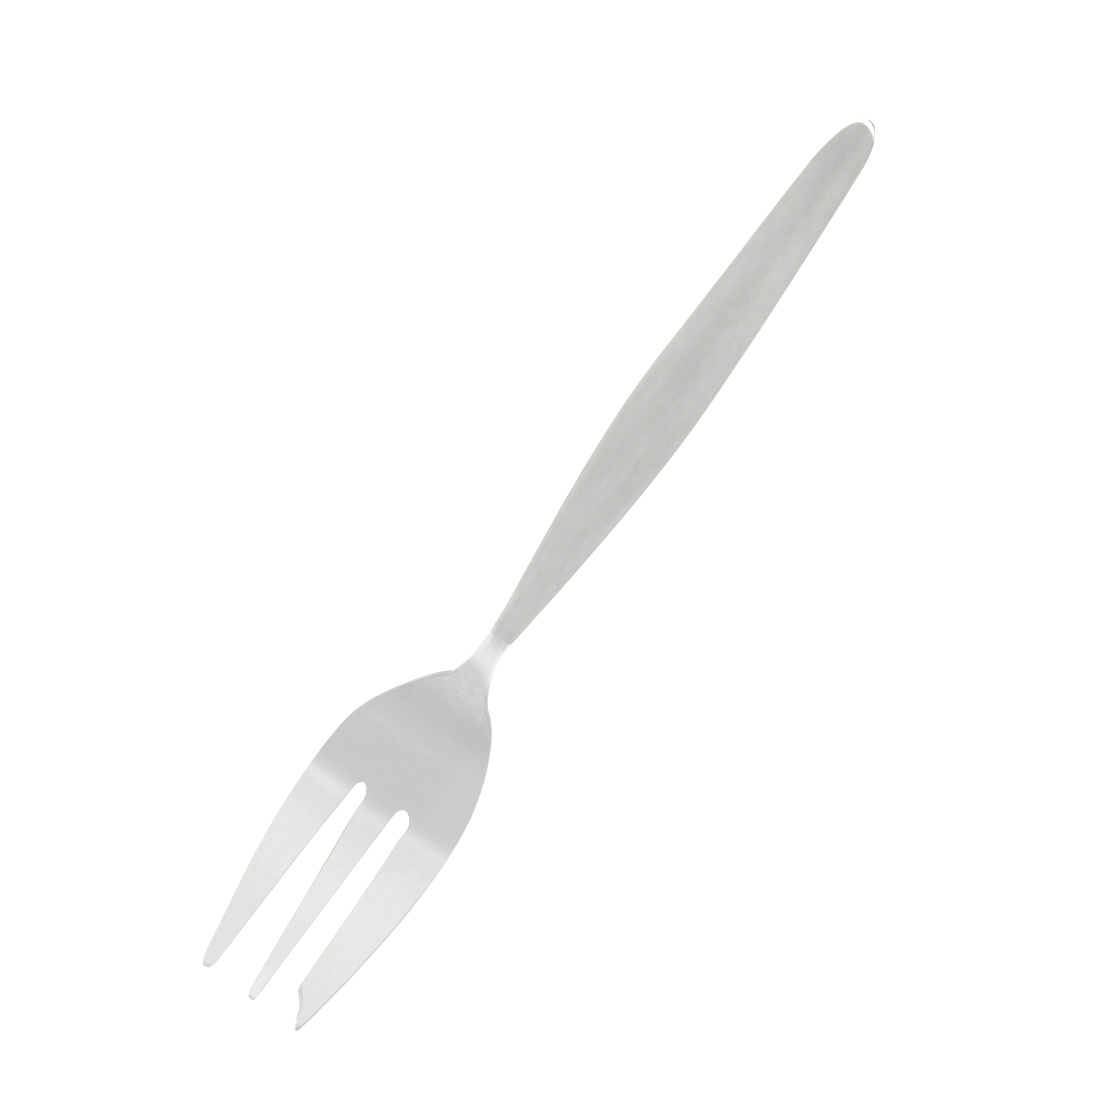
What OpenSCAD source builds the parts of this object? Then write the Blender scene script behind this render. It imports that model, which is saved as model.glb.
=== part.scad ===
// Pastry fork with three tines, the outer one widened and notched as a cutting tine.
// The head is one polished steel piece with a neck and a hidden tang. The handle is
// hollow: a front and a back shell meet on a seam, and a cast filler holds the tang.
// Seen from above, +X runs from the handle end to the tine tips, +Y points to the
// cutting tine and Z = 0 is the table. The origin is under the middle of the fork.

/* [Overall] */
// Length from the handle end to the tine tips
fork_length = 150; // [144:1:156]
// Greatest width across the outer tines
head_width = 23.6; // [22:0.2:25]
// Height of the handle's centre line where it arches highest
arch_height = 10.9; // [9.5:0.1:12]

/* [Head] */
// Steel thickness in the bowl
bowl_thickness = 1.7; // [1.5:0.1:1.9]
// Steel thickness at the tine tips
tip_thickness = 1.3; // [1.2:0.1:1.6]
// Width of the neck where it leaves the handle
neck_width = 3.5; // [3.2:0.1:3.6]
// Thickness of the neck where it leaves the handle
neck_thickness = 2.6; // [2.3:0.1:2.8]
// How far the tine tips turn up above the bowl's lowest line
tip_rise = 7; // [5.5:0.1:8]

/* [Tang] */
// Length of the tang inside the handle
tang_length = 34; // [20:1:45]
// Width of the tang
tang_width = 1.6; // [1.2:0.1:1.7]
// Thickness of the tang
tang_thickness = 1.2; // [0.9:0.1:1.3]

/* [Handle] */
// Greatest width of the handle
handle_width = 9.9; // [9.4:0.1:10.9]
// Greatest depth of the handle
handle_depth = 4.9; // [4.7:0.1:5.4]
// Wall thickness of the two shells
shell_wall = 0.55; // [0.5:0.05:0.6]
// Distance from the handle end to the mouth that the neck comes out of
mouth_at = 88.8; // [88:0.1:89.5]
// Fullness of the handle's cross-section, where 2 is a plain ellipse
fullness = 2.5; // [2.4:0.1:3]

/* [Hidden] */

polished = [0.80, 0.80, 0.79];
satin = [0.66, 0.655, 0.645];
satin_back = [0.60, 0.595, 0.585];
cast = [0.45, 0.43, 0.40];

// Stations are measured along the fork; the handle ends at 0.45 and the tines at 150
kx = fork_length / 149.55;
handle_end = 0.45 * kx;
middle = handle_end + fork_length / 2;
ky = head_width / 23.6;
kz = arch_height / 10.9;
kr = tip_rise / 7;

// ---- Curves through hand-placed points ----

// Slope of a height table at station i, weighted by the distance to its neighbours
function table_slope(t, i) =
    i == 0 ? (t[1][1] - t[0][1]) / (t[1][0] - t[0][0]) :
    i == len(t) - 1 ? (t[i][1] - t[i-1][1]) / (t[i][0] - t[i-1][0]) :
    let (a = t[i][0] - t[i-1][0], b = t[i+1][0] - t[i][0])
    ((t[i][1] - t[i-1][1]) / a * b + (t[i+1][1] - t[i][1]) / b * a) / (a + b);

function hermite(p, q, mp, mq, u) =
    p * (2*u*u*u - 3*u*u + 1) + mp * (u*u*u - 2*u*u + u) +
    q * (3*u*u - 2*u*u*u) + mq * (u*u*u - u*u);

// Value of a table of [station, value] rows at station x
function at(t, x) =
    let (i = max([for (k = [0 : len(t) - 2]) if (k == 0 || x >= t[k][0]) k]),
         w = t[i+1][0] - t[i][0])
    hermite(t[i][1], t[i+1][1], table_slope(t, i) * w, table_slope(t, i+1) * w,
            (x - t[i][0]) / w);

// Direction of a smooth path at point i
function path_slope(p, i) =
    i == 0 ? (p[1] - p[0]) / norm(p[1] - p[0]) :
    i == len(p) - 1 ? (p[i] - p[i-1]) / norm(p[i] - p[i-1]) :
    let (a = norm(p[i] - p[i-1]), b = norm(p[i+1] - p[i]))
    ((p[i] - p[i-1]) / a * b + (p[i+1] - p[i]) / b * a) / (a + b);

// Points along a smooth path, about `step` apart, without the last one
function smooth(p, step) = [
    for (i = [0 : len(p) - 2])
        let (w = norm(p[i+1] - p[i]), n = max(1, round(w / step)))
        for (k = [0 : n - 1])
            hermite(p[i], p[i+1], path_slope(p, i) * w, path_slope(p, i+1) * w, k / n)
];

// ---- Side view: heights at stations measured from the handle end ----

// Centre line of the handle and head
centre_line = [
    [0, 1.15], [4, 1.2], [8, 1.85], [12, 2.65], [20, 4.5], [30, 6.8], [40, 8.8],
    [50, 10.2], [60, 10.9], [70, 10.6], [80, 9.3], [85, 8.1], [90, 6.5], [95, 4.6],
    [100, 3], [105, 1.9], [110, 1.2], [115, 0.87], [118, 0.76], [121, 0.87],
    [125, 1.3], [130, 2.1], [135, 3.1], [140, 4.4], [145, 5.95], [150, 7.75], [152, 8.5]
];
// Half depth of the handle
half_depth = [
    [0, 1.2], [10, 1.5], [20, 1.8], [35, 2.2], [50, 2.4], [60, 2.45], [70, 2.25],
    [80, 1.85], [90, 1.5]
];
// Half width of the handle
half_width = [
    [0, 3.3], [8, 3.4], [12, 3.6], [18, 3.9], [25, 4.2], [32, 4.5], [40, 4.8],
    [46, 5], [52, 5], [57, 4.8], [62, 4.5], [68, 4], [75, 3.3], [80, 2.75],
    [85, 2.18], [90, 1.72]
];

// Height of the centre line where the fork touches the table, for the drawn stations and for this fork
function drawn_floor(s) = s < 118 ? 1.15 - 0.35 * s / 118 : 0.8;
function own_floor(s) = s < 118 ? 1.15 + (bowl_thickness / 2 - 1.15) * s / 118 : bowl_thickness / 2;
function mid_z(x) =
    let (s = x / kx)
    own_floor(s) + (at(centre_line, s) - drawn_floor(s)) * (s < 118 ? kz : kr);

// Point at a distance d square to the centre line at station x, in the plane of the side view
function square_off(x, d) =
    let (run = 0.5, rise = mid_z(x + run / 2) - mid_z(x - run / 2), len = norm([run, rise]))
    [x - middle - d * rise / len, mid_z(x) + d * run / len];

// Thickness of the head's steel, from the neck to the tips
function steel_t(x) =
    let (s = x / kx)
    at([[88, neck_thickness], [97, neck_thickness], [104, bowl_thickness + (neck_thickness - bowl_thickness) * 0.55],
        [113, bowl_thickness + 0.05], [118, bowl_thickness], [150, tip_thickness], [152, tip_thickness]], s);

// ---- Plan view of the head: stations and offsets from the centre line ----

// Plain outer edge, from the neck out to the last tine
plain_flare = [[89, -1.94], [90, -2.06], [92, -2.12], [93, -2.22], [94, -2.38], [95, -2.6], [96.6, -3.03]];
plain_edge = [
    [96.6, -3.03], [98, -4.48], [100, -6.12], [102, -7.5], [104, -8.75], [106, -9.85],
    [108, -10.68], [110, -11.22], [113, -11.6], [117, -11.83], [121, -11.87], [125, -11.77],
    [129, -11.5], [133, -11.07], [137, -10.52], [142, -9.67], [146, -9.03], [148, -8.7]
];
plain_tip = [[148, -8.7], [149.2, -8.34], [149.9, -7.85], [150, -7.35], [149.75, -6.8], [148.8, -6.46]];
first_slot = [
    [148.8, -6.46], [145, -6.3], [140, -6.08], [135, -5.84], [130, -5.64], [125, -5.39],
    [121, -5.14], [118.3, -5.02], [117.05, -4.82], [116.45, -4.3], [116.6, -3.65], [117.45, -3.07],
    [121, -2.82], [125, -2.5], [130, -2.12], [135, -1.74], [140, -1.35], [145, -0.92], [149.2, -0.46]
];
middle_tip = [[149.2, -0.46], [149.9, -0.1], [150, 0.35], [149.9, 0.8], [149.2, 1]];
second_slot = [
    [149.2, 1], [145, 1.08], [140, 1.26], [135, 1.41], [130, 1.56], [125, 1.71], [121, 1.81],
    [118.3, 1.87], [117.05, 2.06], [116.4, 2.66], [116.6, 3.6], [117.4, 4.28], [121, 4.48],
    [125, 4.6], [130, 4.69], [135, 4.76], [140, 4.79], [144.55, 4.82]
];
notch = [[144.55, 4.82], [145.3, 5.05], [146.1, 5.77], [147.3, 6.58], [148.7, 7.1], [149.35, 7.46]];
cutting_tip = [[149.35, 7.46], [150, 8.02], [149.9, 8.34]];
cutting_edge = [
    [149.9, 8.34], [148, 8.82], [146, 9.18], [142, 9.87], [137, 10.57], [132, 11.17],
    [127, 11.6], [123, 11.73], [120, 11.7], [117, 11.55], [114.5, 11.32], [112, 10.95], [109, 10.22],
    [106, 9.24], [104, 8.36], [102, 7.32], [100.5, 6.33], [99.3, 5.3]
];
cutting_flare = [
    [99.3, 5.3], [98, 3.88], [97, 3.24], [96, 2.72], [95, 2.3], [94, 1.98], [93, 1.7],
    [92, 1.53], [91, 1.46], [90, 1.45], [89, 1.52]
];

function widened(p) = [for (q = p) [q[0] * kx,
    abs(q[1]) < 3 && q[0] < 97 ? q[1] * (neck_width / 3.5 + (ky - neck_width / 3.5) * max(0, min(1, (q[0] - 89.3) / 7)))
                               : q[1] * ky]];

head_outline = concat(
    [[mouth_at * kx - 2, -neck_width * 0.54], [mouth_at * kx, -neck_width * 0.54]],
    [for (q = concat(smooth(widened(plain_flare), 0.8), smooth(widened(plain_edge), 1.2),
        smooth(widened(plain_tip), 0.5), smooth(widened(first_slot), 0.9),
        smooth(widened(middle_tip), 0.5), smooth(widened(second_slot), 0.9),
        smooth(widened(notch), 0.5), smooth(widened(cutting_tip), 0.5),
        smooth(widened(cutting_edge), 1.2), smooth(widened(cutting_flare), 0.8)))
        if (q[0] > mouth_at * kx + 0.3) q],
    [[mouth_at * kx, neck_width * 0.45], [mouth_at * kx - 2, neck_width * 0.45]]
);

// ---- Handle sections ----

mouth = mouth_at * kx;
half_points = 11;
stations = concat([for (s = [0.12, 0.4, 0.8, 1.4, 2.2]) handle_end + s], [3.4, 4.2, 5.2, 6.5, 8, 10],
    [for (i = [1 : 24]) 10 + (mouth - 10) * i / 24]);
first_hollow = 4;

// Rounded end, 0 at the handle's tip and 1 from `a` on; a power p above 2 makes it blunter
function end_round(x, a, p = 2) = x >= a ? 1 : pow(1 - pow(1 - x / a, p), 1 / p);
function out_w(x) = at(half_width, x / kx) * handle_width / 10 * end_round(x - handle_end, 7);
function out_h(x) = at(half_depth, x / kx) * (1 + (handle_depth / 4.9 - 1) * min(1, x / 20)) * end_round(x - handle_end, 1.5, 4);
// The handle isn't quite straight: its end comes to its tip on the cutting tine's side, and it leans the other way at the mouth
function off_centre(x) = at([[0, 0.36], [0.5, 0.34], [2, 0.22], [4, 0.12], [12, 0.11], [34, 0.11], [48, -0.05], [70, -0.08], [83, -0.07], [90, -0.15]], x / kx);
function in_w(x) = out_w(x) - shell_wall;
function in_h(x) = out_h(x) - shell_wall;

// One point of a section: a is the angle round it, from +Y over the top
function ring_point(x, w, h, a) =
    let (c = cos(a), s = sin(a), e = 2 / fullness, q = square_off(x, sign(s) * h * pow(abs(s), e)))
    [q[0], sign(c) * w * pow(abs(c), e) + off_centre(x), q[1]];
function arc_points(x, w, h, side) =
    [for (j = [0 : half_points]) ring_point(x, w, h, side * 180 * j / half_points)];

// One half of the hollow handle: side is 1 for the front and -1 for the back
module half_shell(side) {
    n = len(stations);
    m = half_points + 1;
    h = first_hollow;
    outer = [for (x = stations) each arc_points(x, out_w(x), out_h(x), side)];
    inner = [for (i = [h : n - 1]) each arc_points(stations[i], in_w(stations[i]), in_h(stations[i]), side)];
    points = concat(outer, inner, [[-fork_length / 2, off_centre(handle_end), mid_z(handle_end)]]);
    tip = n * m + (n - h) * m;
    function o(i, j) = i * m + j;
    function c(i, j) = n * m + (i - h) * m + j;
    faces = concat(
        [for (j = [0 : m - 2]) [tip, o(0, j), o(0, j + 1)]],
        [[tip, o(0, m - 1), o(0, 0)]],
        [for (i = [0 : n - 2], j = [0 : m - 2]) each [
            [o(i, j), o(i + 1, j), o(i + 1, j + 1)], [o(i, j), o(i + 1, j + 1), o(i, j + 1)]]],
        [for (i = [h : n - 2], j = [0 : m - 2]) each [
            [c(i, j), c(i + 1, j + 1), c(i + 1, j)], [c(i, j), c(i, j + 1), c(i + 1, j + 1)]]],
        [for (i = [0 : h - 2]) each [
            [o(i, 0), o(i, m - 1), o(i + 1, m - 1)], [o(i, 0), o(i + 1, m - 1), o(i + 1, 0)]]],
        [[o(h - 1, 0), o(h - 1, m - 1), o(h, m - 1)], [o(h - 1, 0), o(h, m - 1), c(h, m - 1)],
         [o(h - 1, 0), c(h, m - 1), c(h, 0)], [o(h - 1, 0), c(h, 0), o(h, 0)]],
        [for (i = [h : n - 2]) each [
            [o(i, 0), c(i, 0), c(i + 1, 0)], [o(i, 0), c(i + 1, 0), o(i + 1, 0)],
            [o(i, m - 1), c(i + 1, m - 1), c(i, m - 1)], [o(i, m - 1), o(i + 1, m - 1), c(i + 1, m - 1)]]],
        [for (j = [1 : m - 2]) [c(h, 0), c(h, j + 1), c(h, j)]],
        [for (j = [0 : m - 2]) each [
            [o(n - 1, j), c(n - 1, j), c(n - 1, j + 1)], [o(n - 1, j), c(n - 1, j + 1), o(n - 1, j + 1)]]]
    );
    polyhedron(points, side > 0 ? faces : [for (f = faces) [f[2], f[1], f[0]]]);
}

// Side view of the tang, as an extruded strip that follows the handle's centre line
module tang_body() {
    n = 18;
    x0 = mouth - tang_length;
    x1 = mouth + 1;
    top = [for (i = [0 : n]) square_off(x0 + (x1 - x0) * i / n, tang_thickness / 2)];
    low = [for (i = [n : -1 : 0]) square_off(x0 + (x1 - x0) * i / n, -tang_thickness / 2)];
    rotate([90, 0, 0]) linear_extrude(height = tang_width, center = true) polygon(concat(top, low));
}

module fork_head() color(polished) {
    n = 45;
    xs = [for (i = [0 : n]) mouth + (151.5 * kx - mouth) * i / n];
    union() {
        intersection() {
            rotate([90, 0, 0]) linear_extrude(height = 40, center = true)
                polygon(concat(
                    [for (x = xs) square_off(x, steel_t(x) / 2)],
                    [for (i = [n : -1 : 0]) let (q = square_off(xs[i], -steel_t(xs[i]) / 2)) [q[0], max(0, q[1])]]));
            translate([-middle, 0, -5]) linear_extrude(height = 30) polygon(head_outline);
        }
        tang_body();
    }
}

module handle_front_shell() color(satin) half_shell(1);

// The underside near the handle end is worn flat where it stands on the table
module handle_back_shell() color(satin_back) difference() {
    half_shell(-1);
    translate([-fork_length / 2 - 5, -10, -10]) cube([40, 20, 10]);
}

// Casting that fills the handle and holds the tang
module handle_filler() {
    n = len(stations);
    m = 2 * half_points;
    h = first_hollow;
    points = [for (i = [h : n - 1]) let (x = stations[i])
        each [for (j = [0 : m - 1]) ring_point(x, in_w(x), in_h(x), 180 * j / half_points)]];
    function p(i, j) = (i - h) * m + j % m;
    color(cast) difference() {
        polyhedron(points, concat(
            [[for (j = [0 : m - 1]) p(h, j)]],
            [for (i = [h : n - 2], j = [0 : m - 1]) each [
                [p(i, j), p(i + 1, j), p(i + 1, j + 1)], [p(i, j), p(i + 1, j + 1), p(i, j + 1)]]],
            [[for (j = [m - 1 : -1 : 0]) p(n - 1, j)]]));
        tang_body();
    }
}

fork_head();
handle_front_shell();
handle_back_shell();
handle_filler();
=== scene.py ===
import math

import bmesh
import bpy
import numpy as np
from mathutils import Matrix, Vector


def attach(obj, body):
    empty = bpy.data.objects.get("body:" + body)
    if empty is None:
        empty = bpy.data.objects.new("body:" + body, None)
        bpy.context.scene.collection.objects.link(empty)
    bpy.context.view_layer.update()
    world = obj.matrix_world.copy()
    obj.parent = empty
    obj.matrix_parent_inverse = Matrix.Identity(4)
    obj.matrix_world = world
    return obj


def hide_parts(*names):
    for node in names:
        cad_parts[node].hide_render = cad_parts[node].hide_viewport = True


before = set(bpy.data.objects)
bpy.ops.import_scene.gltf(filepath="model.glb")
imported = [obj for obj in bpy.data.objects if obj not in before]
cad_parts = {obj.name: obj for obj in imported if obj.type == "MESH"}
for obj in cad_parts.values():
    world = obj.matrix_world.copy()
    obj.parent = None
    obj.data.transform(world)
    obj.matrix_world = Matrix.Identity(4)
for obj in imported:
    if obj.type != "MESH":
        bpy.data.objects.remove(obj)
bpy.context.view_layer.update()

MM = 0.001
LENGTH = 150.0
HANDLE_END = 0.45  # station of the handle end; the tines end at 150
KX = LENGTH / (150 - HANDLE_END)
MOUTH = 88.8
FULLNESS = 2.5
WALL = 0.55
LIP = 0.04

# ---------------------------------------------------------------- curves
# Stations along the fork, as in the CAD source.

CENTRE_LINE = [
    (0, 1.15), (4, 1.2), (8, 1.85), (12, 2.65), (20, 4.5), (30, 6.8), (40, 8.8),
    (50, 10.2), (60, 10.9), (70, 10.6), (80, 9.3), (85, 8.1), (90, 6.5), (95, 4.6),
    (100, 3), (105, 1.9), (110, 1.2), (115, 0.87), (118, 0.76), (121, 0.87),
    (125, 1.3), (130, 2.1), (135, 3.1), (140, 4.4), (145, 5.95), (150, 7.75), (152, 8.5)]
HALF_DEPTH = [
    (0, 1.2), (10, 1.5), (20, 1.8), (35, 2.2), (50, 2.4), (60, 2.45), (70, 2.25),
    (80, 1.85), (90, 1.5)]
HALF_WIDTH = [
    (0, 3.3), (8, 3.4), (12, 3.6), (18, 3.9), (25, 4.2), (32, 4.5), (40, 4.8),
    (46, 5), (52, 5), (57, 4.8), (62, 4.5), (68, 4), (75, 3.3), (80, 2.75),
    (85, 2.18), (90, 1.72)]
STEEL = [(88, 2.6), (97, 2.6), (104, 2.195), (113, 1.75), (118, 1.7), (150, 1.3), (152, 1.3)]
OFF_CENTRE = [
    (0, 0.36), (0.5, 0.34), (2, 0.22), (4, 0.12), (12, 0.11), (34, 0.11), (48, -0.05),
    (70, -0.08), (83, -0.07), (86, -0.1), (88.8, -0.19), (90, -0.2)]

PLAIN_FLARE = [(89, -2.01), (90, -2.09), (92, -2.15), (93, -2.23), (94, -2.38), (95, -2.6), (96.6, -3.03)]
PLAIN_EDGE = [
    (96.6, -3.03), (98, -4.48), (100, -6.12), (102, -7.5), (104, -8.75), (106, -9.85),
    (108, -10.68), (110, -11.22), (113, -11.6), (117, -11.83), (121, -11.87), (125, -11.77),
    (129, -11.5), (133, -11.07), (137, -10.52), (142, -9.67), (146, -9.03), (148, -8.7)]
PLAIN_TIP = [(148, -8.7), (149.2, -8.34), (149.9, -7.85), (150, -7.35), (149.75, -6.8), (148.8, -6.46)]
FIRST_SLOT = [
    (148.8, -6.46), (145, -6.3), (140, -6.08), (135, -5.84), (130, -5.64), (125, -5.39),
    (121, -5.14), (118.3, -5.02), (117.05, -4.82), (116.45, -4.3), (116.6, -3.65), (117.45, -3.07),
    (121, -2.82), (125, -2.5), (130, -2.12), (135, -1.74), (140, -1.35), (145, -0.92), (149.2, -0.46)]
MIDDLE_TIP = [(149.2, -0.46), (149.9, -0.1), (150, 0.35), (149.9, 0.8), (149.2, 1)]
SECOND_SLOT = [
    (149.2, 1), (145, 1.08), (140, 1.26), (135, 1.41), (130, 1.56), (125, 1.71), (121, 1.81),
    (118.3, 1.87), (117.05, 2.06), (116.4, 2.66), (116.6, 3.6), (117.4, 4.28), (121, 4.48),
    (125, 4.6), (130, 4.69), (135, 4.76), (140, 4.79), (144.55, 4.82)]
NOTCH = [(144.55, 4.82), (145.3, 5.05), (146.1, 5.77), (147.3, 6.58), (148.7, 7.1), (149.35, 7.46)]
CUTTING_TIP = [(149.35, 7.46), (150, 8.02), (149.9, 8.34)]
CUTTING_EDGE = [
    (149.9, 8.34), (148, 8.82), (146, 9.18), (142, 9.87), (137, 10.57), (132, 11.17),
    (127, 11.6), (123, 11.73), (120, 11.7), (117, 11.55), (114.5, 11.32), (112, 10.95), (109, 10.22),
    (106, 9.24), (104, 8.36), (102, 7.32), (100.5, 6.33), (99.3, 5.3)]
CUTTING_FLARE = [
    (99.3, 5.3), (98, 3.88), (97, 3.25), (96, 2.76), (95, 2.38), (94, 2.1), (93, 1.8),
    (92, 1.6), (91, 1.51), (90, 1.45), (89, 1.47)]


def hermite(p, q, mp, mq, u):
    return (p * (2 * u**3 - 3 * u**2 + 1) + mp * (u**3 - 2 * u**2 + u)
            + q * (3 * u**2 - 2 * u**3) + mq * (u**3 - u**2))


def at(table, x):
    """Smooth value of a table of (station, value) rows at the stations x."""
    t = np.array(table, float)
    x = np.atleast_1d(np.asarray(x, float))
    w = np.diff(t[:, 0])
    d = np.diff(t[:, 1]) / w
    m = np.empty(len(t))
    m[0], m[-1] = d[0], d[-1]
    m[1:-1] = (d[:-1] * w[1:] + d[1:] * w[:-1]) / (w[:-1] + w[1:])
    i = np.clip(np.searchsorted(t[:, 0], x, "right") - 1, 0, len(t) - 2)
    u = (x - t[i, 0]) / w[i]
    return hermite(t[i, 1], t[i + 1, 1], m[i] * w[i], m[i + 1] * w[i], u)


def smooth_path(points, step):
    """Points along a smooth path through the given points, without the last one."""
    p = np.array(points, float)
    seg = np.diff(p, axis=0)
    w = np.linalg.norm(seg, axis=1)
    d = seg / w[:, None]
    m = np.empty_like(p)
    m[0], m[-1] = d[0], d[-1]
    m[1:-1] = (d[:-1] * w[1:, None] + d[1:] * w[:-1, None]) / (w[:-1] + w[1:])[:, None]
    out = []
    for i in range(len(p) - 1):
        n = max(1, int(round(w[i] / step)))
        for k in range(n):
            out.append(hermite(p[i], p[i + 1], m[i] * w[i], m[i + 1] * w[i], k / n))
    return out


# Side view of the whole fork: the centre line, fair enough to carry a clean reflection
_grid = np.arange(-8.0, 158.001, 0.1)
_line = at(CENTRE_LINE, np.clip(_grid, 0, 152)) + 0.05 * np.clip(_grid, 0, 118) / 118
_line += np.where(_grid > 152, (_grid - 152) * 0.375, 0)
_reach = np.arange(-80, 81) * 0.1
_kernel = np.exp(-0.5 * (_reach / 2.2) ** 2)
_kernel /= _kernel.sum()
_padded = np.concatenate([np.full(80, _line[0]), _line, _line[-1] + 0.0375 * np.arange(1, 81)])
_fair = np.convolve(_padded, _kernel, "valid")
_slope = np.gradient(_fair, 0.1)
_turn = np.gradient(np.arctan(_slope), 0.1)


def mid(x):
    return np.interp(x, _grid, _fair)


def early(x, y):
    """How much sooner the outer tines start to rise than the middle one."""
    u = np.clip((np.abs(y) - 2.0) / 4.0, 0, 1)
    v = np.clip((x - 104.0) / 9.0, 0, 1) * np.clip((134.0 - x) / 10.0, 0, 1)
    return 0.85 * u * u * (3 - 2 * u) * v * v * (3 - 2 * v)


def tilt(x):
    return np.arctan(np.interp(x, _grid, _slope))


def tilt_rate(x):
    return np.interp(x, _grid, _turn)


def bend(x, y, d):
    """Frame position, in metres, of a point at station x and offset y, a height d square to the centre line."""
    s = x + early(x, y)
    a = tilt(s)
    p = np.stack([(x - HANDLE_END) * KX - LENGTH / 2 - d * np.sin(a), y, mid(s) + d * np.cos(a)], axis=-1)
    p[..., 2] = np.maximum(p[..., 2], 0.0)
    return p * MM


def bend_normal(x, y, d, nx, ny, nd):
    """Unit normals in the frame from normals given in the straightened fork."""
    s = x + early(x, y)
    a = tilt(s)
    stretch = 1 / np.cos(a) - d * tilt_rate(s)
    nt = nx / stretch
    n = np.stack([nt * np.cos(a) - nd * np.sin(a), ny, nt * np.sin(a) + nd * np.cos(a)], axis=-1)
    return n / np.maximum(np.linalg.norm(n, axis=-1, keepdims=True), 1e-12)


def add_mesh(name, verts, faces, normals, layers=None):
    mesh = bpy.data.meshes.new(name)
    mesh.from_pydata([tuple(v) for v in verts], [], faces)
    bm = bmesh.new()
    bm.from_mesh(mesh)
    bmesh.ops.recalc_face_normals(bm, faces=bm.faces[:])
    for f in bm.faces:
        f.smooth = True
    bm.to_mesh(mesh)
    bm.free()
    for key, values in (layers or {}).items():
        mesh.attributes.new(key, "FLOAT", "POINT").data.foreach_set("value", np.asarray(values, np.float32))
    mesh.normals_split_custom_set_from_vertices([tuple(n) for n in normals])
    obj = bpy.data.objects.new(name, mesh)
    bpy.context.scene.collection.objects.link(obj)
    return obj


# ---------------------------------------------------------------- the head

def head_outline():
    parts = [(PLAIN_FLARE, 0.3), (PLAIN_EDGE, 0.45), (PLAIN_TIP, 0.16), (FIRST_SLOT, 0.3),
             (MIDDLE_TIP, 0.14), (SECOND_SLOT, 0.3), (NOTCH, 0.16), (CUTTING_TIP, 0.14),
             (CUTTING_EDGE, 0.45), (CUTTING_FLARE, 0.3)]
    pts = [np.array((x, -1.95)) for x in (86.0, 87.0, 88.0)]
    for path, step in parts:
        pts += smooth_path(path, step)
    pts += [np.array((x, 1.51)) for x in (88.6, 88.0, 87.0, 86.0)]
    return np.array(pts)


def outline_normals(p):
    """Outward normals of a closed counter-clockwise outline, and how far a mitre reaches at each point."""
    e = np.roll(p, -1, axis=0) - p
    e /= np.linalg.norm(e, axis=1)[:, None]
    side = np.stack([e[:, 1], -e[:, 0]], axis=1)
    n = side + np.roll(side, 1, axis=0)
    n /= np.linalg.norm(n, axis=1)[:, None]
    reach = 1 / np.maximum((n * side).sum(axis=1), 0.72)
    return n, reach


def edge_round(x, y):
    """Inset and drop of the rounded edge along the outline."""
    plain = at([(86, 1.2), (89.2, 1.2), (91, 1.1), (92, 0.85), (93, 0.42), (94, 0.25), (96, 0.15), (104, 0.15), (151, 0.15)], x)
    wide = at([(86, 1.2), (89.2, 1.2), (90.6, 0.72), (92, 0.7), (94.5, 0.75), (96, 0.4), (97, 0.2), (99, 0.15), (104, 0.15), (151, 0.15)], x)
    inset = np.where(y < 0, plain, wide)
    drop = at([(86, 0.95), (89.0, 0.95), (90.6, 0.46), (92, 0.42), (95, 0.26), (99, 0.22), (104, 0.2), (151, 0.2)], x)
    # wider bevels at the notch and the tips
    wide = np.where((x > 122.0) & (y > 8.0), 0.26, 0.0)
    wide = np.where((x > 144.3) & (y > 4.6) & (y < 7.7), 0.38, wide)
    wide = np.where((x > 147.6) & (y < -6.6), 0.3, wide)
    wide = np.where((x > 147.0) & (np.abs(y) < 1.6), 0.26, wide)
    wide = np.where((x > 148.6) & (y > 7.2), 0.28, wide)
    return np.maximum(inset, wide), np.maximum(drop, np.minimum(1.2 * wide, 0.45))


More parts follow.
